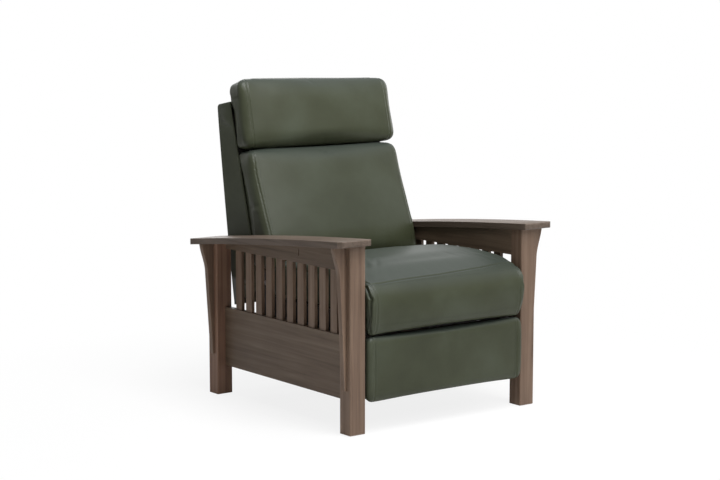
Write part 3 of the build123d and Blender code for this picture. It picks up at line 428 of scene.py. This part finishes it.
def skin_over(node, name, voxel, smoothing):
    """A leather skin in the form of a CAD cushion, evenly meshed and softened."""
    skin = nodes[node].data.copy()
    skin.materials.clear()
    piece = bpy.data.objects.new(name, skin)
    bpy.context.scene.collection.objects.link(piece)
    work = bmesh.new()
    work.from_mesh(skin)
    bmesh.ops.remove_doubles(work, verts=work.verts, dist=1e-5)
    bmesh.ops.recalc_face_normals(work, faces=work.faces)
    work.to_mesh(skin)
    work.free()
    remesh = piece.modifiers.new("even mesh", "REMESH")
    remesh.mode = "VOXEL"
    remesh.voxel_size = voxel
    apply_all(piece)
    soften(piece, smoothing)
    return piece


def ease(value, start, end):
    """A share that rises smoothly from 0 at the start to 1 at the end."""
    share = min(1, max(0, (value - start) / (end - start)))
    return share * share * (3 - 2 * share)


def widen(piece, inner, share, corner):
    """Stretches a cover's ends beyond an inner half width, and squares their front corners."""
    for vert, normal in [(vert, vert.normal.copy()) for vert in piece.data.vertices]:
        side = 1 if vert.co.x > 0 else -1
        if abs(vert.co.x) > inner:
            vert.co.x = side * (inner + (abs(vert.co.x) - inner) * share)
        if normal.y < 0:
            vert.co += normal * corner * min(1, 2.2 * abs(normal.x * normal.y))
    soften(piece, 4)


def soften(piece, rounds, near=None, reach=0):
    """Relaxes the mesh, all over or within reach of a tree of seam marks."""
    work = bmesh.new()
    work.from_mesh(piece.data)
    verts = [vert for vert in work.verts if near is None or near.find(vert.co)[2] < reach]
    for _ in range(rounds):
        bmesh.ops.smooth_vert(
            work, verts=verts, factor=0.5, use_axis_x=True, use_axis_y=True, use_axis_z=True
        )
    work.to_mesh(piece.data)
    work.free()


def run_of(points, step):
    """Points a step apart along a polyline."""
    spread = []
    for start, end in zip(points, points[1:]):
        start, end = Vector(start), Vector(end)
        count = max(1, round((end - start).length / step))
        spread += [start.lerp(end, share / count) for share in range(count)]
    return spread + [Vector(points[-1])]


def surface_of(piece):
    """The piece's surface, for finding the nearest point on it."""
    return BVHTree.FromPolygons(
        [vert.co for vert in piece.data.vertices], [face.vertices for face in piece.data.polygons]
    )


def marks_on(piece, seams, step=0.003):
    """A search tree of seam marks laid on the piece's surface."""
    surface = surface_of(piece)
    marks = []
    for seam in seams:
        line = [surface.find_nearest(mark)[0] for mark in run_of(seam, step)]
        for _ in range(6):
            inner = [(a + b * 2 + c) / 4 for a, b, c in zip(line, line[1:], line[2:])]
            line = [line[0], *inner, line[-1]]
        marks += [surface.find_nearest(mark)[0] for mark in line]
    tree = kdtree.KDTree(len(marks))
    for index, mark in enumerate(marks):
        tree.insert(mark, index)
    tree.balance()
    return tree


def fill_out(piece, seams, cap, keep):
    """Swells the cover like foam under leather. Seams hold it back, and keep() stops it at
    what it rests on."""
    near = marks_on(piece, seams)
    held_reach, last_frame = 0.005, 20
    group = piece.vertex_groups.new(name="held")
    before = [(vert.co.copy(), vert.normal.copy()) for vert in piece.data.vertices]
    for index, (start, _) in enumerate(before):
        if near.find(start)[2] < held_reach:
            group.add([index], 1.0, "REPLACE")
    cloth = piece.modifiers.new("swell", "CLOTH")
    settings = cloth.settings
    settings.quality = 5
    settings.mass = 0.3
    settings.tension_stiffness = 15
    settings.compression_stiffness = 15
    settings.shear_stiffness = 5
    settings.bending_stiffness = 0.5
    settings.use_pressure = True
    settings.uniform_pressure_force = 3.0
    settings.vertex_group_mass = "held"
    settings.effector_weights.gravity = 0
    cloth.point_cache.frame_start = 1
    cloth.point_cache.frame_end = last_frame
    for number in range(1, last_frame + 1):
        bpy.context.scene.frame_set(number)
    apply_all(piece)
    bpy.context.scene.frame_set(1)
    for vert, (start, normal) in zip(piece.data.vertices, before):
        swell = (vert.co - start).dot(normal)
        vert.co = keep(start + normal * cap * tanh(swell / cap))
    soften(piece, 2)


def sew(piece, seams, width, depth):
    """Draws seams in as narrow valleys, on a mesh made finer beside them."""
    near = marks_on(piece, seams)
    reach = 3.2 * width
    work = bmesh.new()
    work.from_mesh(piece.data)
    close = {vert for vert in work.verts if near.find(vert.co)[2] < reach + 0.006}
    edges = [edge for edge in work.edges if edge.verts[0] in close and edge.verts[1] in close]
    bmesh.ops.subdivide_edges(work, edges=edges, cuts=2, use_grid_fill=True)
    bmesh.ops.triangulate(work, faces=[face for face in work.faces if len(face.verts) > 4])
    work.to_mesh(piece.data)
    work.free()
    soften(piece, 3, near, reach + 0.003)
    near = marks_on(piece, seams, 0.0015)
    for vert, normal in [(vert, vert.normal.copy()) for vert in piece.data.vertices]:
        gap = near.find(vert.co)[2] / width
        if gap < 4:
            valley = 2.718 ** -(gap * gap)
            shoulder = 0.22 * 2.718 ** -((gap - 2) ** 2)
            vert.co -= normal * depth * (valley - shoulder)
    soften(piece, 1, near, 2 * width)


def upholster(piece, node, body):
    """Smooth shading, leather, and the cushion's place in the chair."""
    for face in piece.data.polygons:
        face.use_smooth = True
    piece.data.materials.append(green_leather)
    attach(piece, body)
    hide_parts(node)


# The line of the front posts' faces.
front_line = -0.411


def place(x, depth, height):
    """A point by its millimetres across, behind the front posts, and above the floor."""
    return (x / 1000, front_line + depth / 1000, height / 1000)


def both_sides(points):
    """The same line on the left and on the right."""
    return [[place(side * x, depth, height) for x, depth, height in points] for side in (-1, 1)]


def across(half, depth, height, bow):
    """A line across the chair, its middle bowed towards the front."""
    return [
        place(half * share, depth - bow * (1 - share * share), height)
        for share in (-1, -0.75, -0.5, -0.25, 0, 0.25, 0.5, 0.75, 1)
    ]


dark_thread = woven_cloth("dark green thread", (0.020, 0.023, 0.014), (0.040, 0.045, 0.030), 2400)


def stitch(name, cover, body, lines):
    """Rows of small thread stitches sunk in a cover along lines."""
    pitch, thread_width, thread_height, lift = 0.0055, 0.0009, 0.0008, 0.0002
    surface = surface_of(cover)
    work = bmesh.new()
    for line in lines:
        marks = [surface.find_nearest(mark) for mark in run_of(line, pitch)]
        for (here, rise, _, _), (there, _, _, _) in zip(marks, marks[1:]):
            run = there - here
            if not pitch * 0.4 < run.length < pitch * 2:
                continue
            along = run.normalized()
            side = along.cross(rise).normalized()
            turn = Matrix((along, side, side.cross(along))).transposed().to_4x4()
            turn.translation = (here + there) / 2 + rise * lift
            size = Matrix.Diagonal((pitch * 0.66, thread_width, thread_height, 1))
            bmesh.ops.create_icosphere(work, subdivisions=1, radius=0.5, matrix=turn @ size)
    mesh = bpy.data.meshes.new(name)
    work.to_mesh(mesh)
    work.free()
    thread = bpy.data.objects.new(name, mesh)
    bpy.context.scene.collection.objects.link(thread)
    thread.data.materials.append(dark_thread)
    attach(thread, body)


seat = skin_over("seat_cushion", "seat_cover", 0.0055, 8)
front_seam = [
    place(x, depth, height)
    for x, depth, height in (
        (-296, 2, 462),
        (-260, -1, 464),
        (-184, 2, 467),
        (-23, 3, 469),
        (62, 7, 472),
        (150, 12, 473),
        (244, 21, 475),
        (296, 22, 473),
    )
]
side_welts = both_sides(
    (
        (304, 480, 462),
        (306, 250, 466),
        (304, 60, 466),
        (298, 4, 461),
        (294, -8, 450),
        (292, -18, 430),
        (291, -22, 400),
        (291, -20, 362),
        (290, -12, 335),
        (288, -4, 318),
    )
)
seat_seams = [front_seam, *side_welts]
seat_half = 0.3172
springs_top = 0.3619
frame_face = front_line + 0.0225
fascia_rear = front_line + 0.0215
crown_height = 0.028
fascia_drop = 0.013


def on_springs(co):
    """The seat rests on its springs between the posts, its fascia before the frame."""
    co.x = max(-seat_half, min(seat_half, co.x))
    if co.y > frame_face:
        co.z = max(co.z, springs_top)
    elif co.z < springs_top:
        co.y = min(co.y, fascia_rear)
    return co


widen(seat, 0.26, 1.08, 0.010)
for vert in seat.data.vertices:
    depth = vert.co.y - front_line
    rise = ease(depth, -0.005, 0.085) - 0.95 * ease(depth, 0.24, 0.50)
    side = 1 - 0.12 * (abs(vert.co.x) / 0.31) ** 4
    vert.co.z += crown_height * ease(vert.co.z, 0.42, 0.47) * rise * side
    if depth < 0.03:
        vert.co.z -= fascia_drop * ease(-vert.co.z, -0.37, -0.32)
soften(seat, 3)
fill_out(seat, seat_seams, 0.008, on_springs)
sew(seat, seat_seams, 0.0026, 0.0022)
pleats = both_sides(
    (
        (309, 6, 452),
        (306, -4, 438),
        (303, -12, 418),
        (303, -14, 395),
        (303, -12, 368),
        (300, -6, 340),
        (297, 0, 322),
    )
) + both_sides(((311, 14, 446), (310, 4, 418), (310, 0, 390), (308, 2, 350), (304, 8, 326)))
sew(seat, pleats, 0.0040, 0.0080)
upholster(seat, "seat_cushion", "frame")
stitch(
    "seat_stitches",
    seat,
    "frame",
    [across(280, -22, 338, 3), across(284, -2, 459, 2)],
)

# Footrest pad: a foam panel wrapped in leather, boxed at its ends, topstitched
# beside the end seams and closed behind on its board.
pad = skin_over("footrest_pad", "footrest_cover", 0.005, 5)
pad_seams = both_sides(
    ((293, -4, 100), (291, -9, 150), (290, -10, 200), (291, -9, 260), (293, -4, 299))
)
pad_half = 0.3155
board_face = front_line + 0.0277


def before_board(co):
    """The pad stops at its board and clears the posts."""
    co.x = max(-pad_half, min(pad_half, co.x))
    co.y = min(co.y, board_face)
    return co


widen(pad, 0.26, 1.07, 0.009)
fill_out(pad, pad_seams, 0.004, before_board)
sew(pad, pad_seams, 0.0024, 0.0018)
upholster(pad, "footrest_pad", "footrest")
stitch(
    "footrest_stitches",
    pad,
    "footrest",
    both_sides(((285, -10, 112), (284, -10, 200), (285, -10, 290))),
)

# Outer back: panels under thin wadding and leather that close the rear, the sides
# and the top. The skin is drawn round the edges and swells a little between them.
shell_mesh = nodes["outer_back"].data.copy()
shell_mesh.materials.clear()
shell = bpy.data.objects.new("outer_back_cover", shell_mesh)
bpy.context.scene.collection.objects.link(shell)
work = bmesh.new()
work.from_mesh(shell_mesh)
bmesh.ops.remove_doubles(work, verts=work.verts, dist=1e-5)
bmesh.ops.recalc_face_normals(work, faces=work.faces)
bmesh.ops.dissolve_limit(work, angle_limit=radians(1), verts=work.verts, edges=work.edges)
edges = [edge for edge in work.edges if edge.calc_face_angle(0) > radians(30)]
bmesh.ops.bevel(
    work,
    geom=edges,
    affect="EDGES",
    offset=0.0019,
    offset_type="OFFSET",
    segments=3,
    profile=0.5,
    material=-1,
    clamp_overlap=True,
)
cuts = [((0.3 - 0.025 * count, 0, 0), (1, 0, 0)) for count in range(1, 24)]
cuts += [((0, 0, 0.3 + 0.025 * count), (0, 0, 1)) for count in range(1, 28)]
for point, facing in cuts:
    everything = work.verts[:] + work.edges[:] + work.faces[:]
    bmesh.ops.bisect_plane(work, geom=everything, plane_co=point, plane_no=facing, dist=1e-6)
work.normal_update()
shell_foot, shell_height = 0.31, 0.65
rear_swell, side_swell = 0.007, 0.003
for vert in work.verts:
    rise = min(1, max(0, (vert.co.z - shell_foot) / shell_height))
    fullness = (4 * rise * (1 - rise)) ** 0.6
    if vert.normal.y > 0.75:
        wide = min(1, abs(vert.co.x) / 0.3)
        vert.co += vert.normal * rear_swell * fullness * (1 - wide**3)
    elif abs(vert.co.x) > 0.3009:
        vert.co.x += (side_swell if vert.co.x > 0 else -side_swell) * fullness
work.to_mesh(shell_mesh)
work.free()
for face in shell_mesh.polygons:
    face.use_smooth = True
shell_mesh.set_sharp_from_angle(angle=radians(40))
shell_mesh.materials.append(green_leather)
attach(shell, "back")
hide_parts("outer_back")

# Back cushion: a tall pillow that leans further than the frame behind it, with
# boxed sides and a topstitched seam down each front edge. Its foot tucks down
# behind the seat, and its rear edges are tacked to the back.
cushion = skin_over("back_cushion", "back_cushion_cover", 0.0055, 7)
cushion_seams = both_sides(
    (
        (292, 540, 505),
        (291.5, 555, 560),
        (291, 580, 620),
        (291, 603, 680),
        (291, 628, 745),
        (288, 652, 800),
        (284, 668, 822),
    )
)
# The depth and height of a point on the rear plane, and the plane's lean.
cushion_rear = (0.650, 0.545, radians(15.6))


def crown(piece, amount):
    """Fills out the middle of a cover's front, as the wadding under it does."""
    for vert, normal in [(vert, vert.normal.copy()) for vert in piece.data.vertices]:
        if normal.y < 0:
            vert.co.y += amount * normal.y * max(0, 1 - (abs(vert.co.x) / 0.30) ** 3)


def before_rear(co, rear):
    """How far a point lies before a cover's rear plane."""
    depth, height, lean = rear
    return (co.z - height) * sin(lean) - (co.y - front_line - depth) * cos(lean)


def square_rear(piece, rear, half):
    """Squares the rear edges of a cover where it is tacked to the back."""
    inner, reach = 0.26, 0.03
    for vert in piece.data.vertices:
        co = vert.co
        gap = before_rear(co, rear)
        if abs(co.x) > inner and gap < reach:
            pull = 1 - max(0, gap) / reach
            edge = pull * min(1, max(0, (abs(co.x) - inner) / reach))
            co.x += ((half if co.x > 0 else -half) - co.x) * edge
            co.y += max(0, gap) * edge * 0.8
    soften(piece, 2)


def brought_forward(co, past, lean):
    """A point that is past a leaning plane, brought back onto it."""
    if past > 0:
        co.y -= past * cos(lean)
        co.z += past * sin(lean)
    return co


def on_webbing(co):
    """The cushion's rear lies on the webbing, and its sides clear the arm boards."""
    arm_height, arm_clear = 0.63, 0.3115
    if co.z < arm_height:
        co.x = max(-arm_clear, min(arm_clear, co.x))
    return brought_forward(co, -before_rear(co, cushion_rear), cushion_rear[2])


widen(cushion, 0.24, 1.16, 0.011)
crown(cushion, 0.012)
top_lift, foot_tuck = 0.008, 0.046
for vert in cushion.data.vertices:
    vert.co.z += top_lift * ease(vert.co.z, 0.68, 0.82)
    vert.co.z -= foot_tuck * ease(-vert.co.z, -0.56, -0.50)
square_rear(cushion, cushion_rear, 0.305)
fill_out(cushion, cushion_seams, 0.007, on_webbing)
sew(cushion, cushion_seams, 0.0026, 0.0022)
upholster(cushion, "back_cushion", "back")
stitch(
    "back_cushion_stitches",
    cushion,
    "back",
    both_sides(
        ((283, 538, 510), (283, 578, 620), (283, 602, 680), (282, 627, 745), (276, 658, 815))
    ),
)

# Headrest: a shorter, fuller pillow of the same leather and wadding above the
# cushion, with boxed ends. It lies on the upper back and rolls over its top rail.
rest = skin_over("headrest", "headrest_cover", 0.005, 6)
rest_seams = both_sides(
    (
        (280, 716, 1066),
        (284, 690, 1034),
        (285, 676, 1004),
        (285, 666, 945),
        (285, 660, 895),
        (284, 654, 860),
        (281, 654, 838),
    )
)
rest_rear = (0.725, 0.8155, radians(12))


def overhang_at(height):
    """How far the headrest reaches back over the top rail, at a height."""
    return 0.006 * min(1, max(0, (height - 0.955) / 0.02))


def on_back(co):
    """The headrest's rear lies on the upper back and overhangs its top rail."""
    past = -before_rear(co, rest_rear) - overhang_at(co.z)
    return brought_forward(co, past, rest_rear[2])


widen(rest, 0.24, 1.30, 0.013)
crown(rest, 0.014)
low_spread, low_lift, right_drop = 0.022, 0.008, 0.009
for vert in rest.data.vertices:
    low = ease(-vert.co.z, -0.98, -0.83)
    vert.co.x *= 1 + low_spread * low
    vert.co.z += low_lift * low
    vert.co.z -= right_drop * ease(vert.co.x, -0.29, 0.29) * ease(vert.co.z, 0.93, 1.06)
square_rear(rest, rest_rear, 0.304)
for vert in rest.data.vertices:
    gap = before_rear(vert.co, rest_rear)
    vert.co.y += overhang_at(vert.co.z) * min(1, max(0, 1 - gap / 0.05))
fill_out(rest, rest_seams, 0.006, on_back)
sew(rest, rest_seams, 0.0026, 0.0022)
upholster(rest, "headrest", "back")

# Studio: a pale floor, large soft lights high in front and overhead, weaker ones
# at the sides and behind, and a plain bright surround.
floor_mesh = bpy.data.meshes.new("floor")
work = bmesh.new()
bmesh.ops.create_grid(work, x_segments=1, y_segments=1, size=40)
work.to_mesh(floor_mesh)
work.free()
floor = bpy.data.objects.new("floor", floor_mesh)
bpy.context.scene.collection.objects.link(floor)
pale_floor, tree, shader, coords = new_finish("pale floor")
shader.inputs["Base Color"].default_value = (0.86, 0.86, 0.86, 1)
shader.inputs["Roughness"].default_value = 0.9
shader.inputs["Specular IOR Level"].default_value = 0.1
glow = node_of(tree, "ShaderNodeEmission", Color=(1, 1, 1, 1), Strength=1.0)
seen = tree.nodes.new("ShaderNodeLightPath")
far = node_of(tree, "ShaderNodeVectorMath", operation="LENGTH")
tree.links.new(coords.outputs["Object"], far.inputs[0])
fade = range_of(tree, far.outputs["Value"], 0.84, 1.0, 0.35, 1.6)
part = node_of(tree, "ShaderNodeMath", operation="MULTIPLY")
tree.links.new(seen.outputs["Is Camera Ray"], part.inputs[0])
tree.links.new(fade, part.inputs[1])
blend = tree.nodes.new("ShaderNodeMixShader")
tree.links.new(part.outputs["Value"], blend.inputs["Fac"])
tree.links.new(shader.outputs["BSDF"], blend.inputs[1])
tree.links.new(glow.outputs["Emission"], blend.inputs[2])
tree.links.new(blend.outputs["Shader"], tree.nodes["Material Output"].inputs["Surface"])
floor.data.materials.append(pale_floor)

world = bpy.data.worlds.new("surround")
world.use_nodes = True
bpy.context.scene.world = world
tree = world.node_tree
dim = tree.nodes["Background"]
dim.inputs["Color"].default_value = (0.95, 0.97, 1.0, 1)
dim.inputs["Strength"].default_value = 0.11
bright = node_of(tree, "ShaderNodeBackground", Color=(1, 1, 1, 1), Strength=1.0)
seen = tree.nodes.new("ShaderNodeLightPath")
plain = node_of(tree, "ShaderNodeMath", operation="MAXIMUM")
tree.links.new(seen.outputs["Is Camera Ray"], plain.inputs[0])
tree.links.new(seen.outputs["Is Glossy Ray"], plain.inputs[1])
either = node_of(tree, "ShaderNodeMath", operation="MAXIMUM")
tree.links.new(plain.outputs["Value"], either.inputs[0])
tree.links.new(seen.outputs["Is Transmission Ray"], either.inputs[1])
blend = tree.nodes.new("ShaderNodeMixShader")
tree.links.new(either.outputs["Value"], blend.inputs["Fac"])
tree.links.new(dim.outputs["Background"], blend.inputs[1])
tree.links.new(bright.outputs["Background"], blend.inputs[2])
tree.links.new(blend.outputs["Shader"], tree.nodes["World Output"].inputs["Surface"])


def soft_light(name, stand, size, watts):
    """A square area light on a stand, aimed at the middle of the chair."""
    data = bpy.data.lights.new(name, "AREA")
    data.size = size
    data.energy = watts
    lamp = bpy.data.objects.new(name, data)
    bpy.context.scene.collection.objects.link(lamp)
    lamp.location = stand
    chair_middle = Vector((0, 0, 0.5))
    lamp.rotation_euler = (chair_middle - Vector(stand)).to_track_quat("-Z", "Y").to_euler()


soft_light("key light", (0.9, -4.4, 3.8), 2.4, 110)
soft_light("top light", (-0.2, -1.7, 4.1), 2.2, 195)
soft_light("rear fill", (1.8, 4.4, 2.6), 2.6, 55)
soft_light("right fill", (4.4, 0.2, 1.8), 2.6, 55)
soft_light("left fill", (-4.4, -1.2, 1.6), 2.6, 4)

bpy.context.scene.view_settings.view_transform = "Standard"
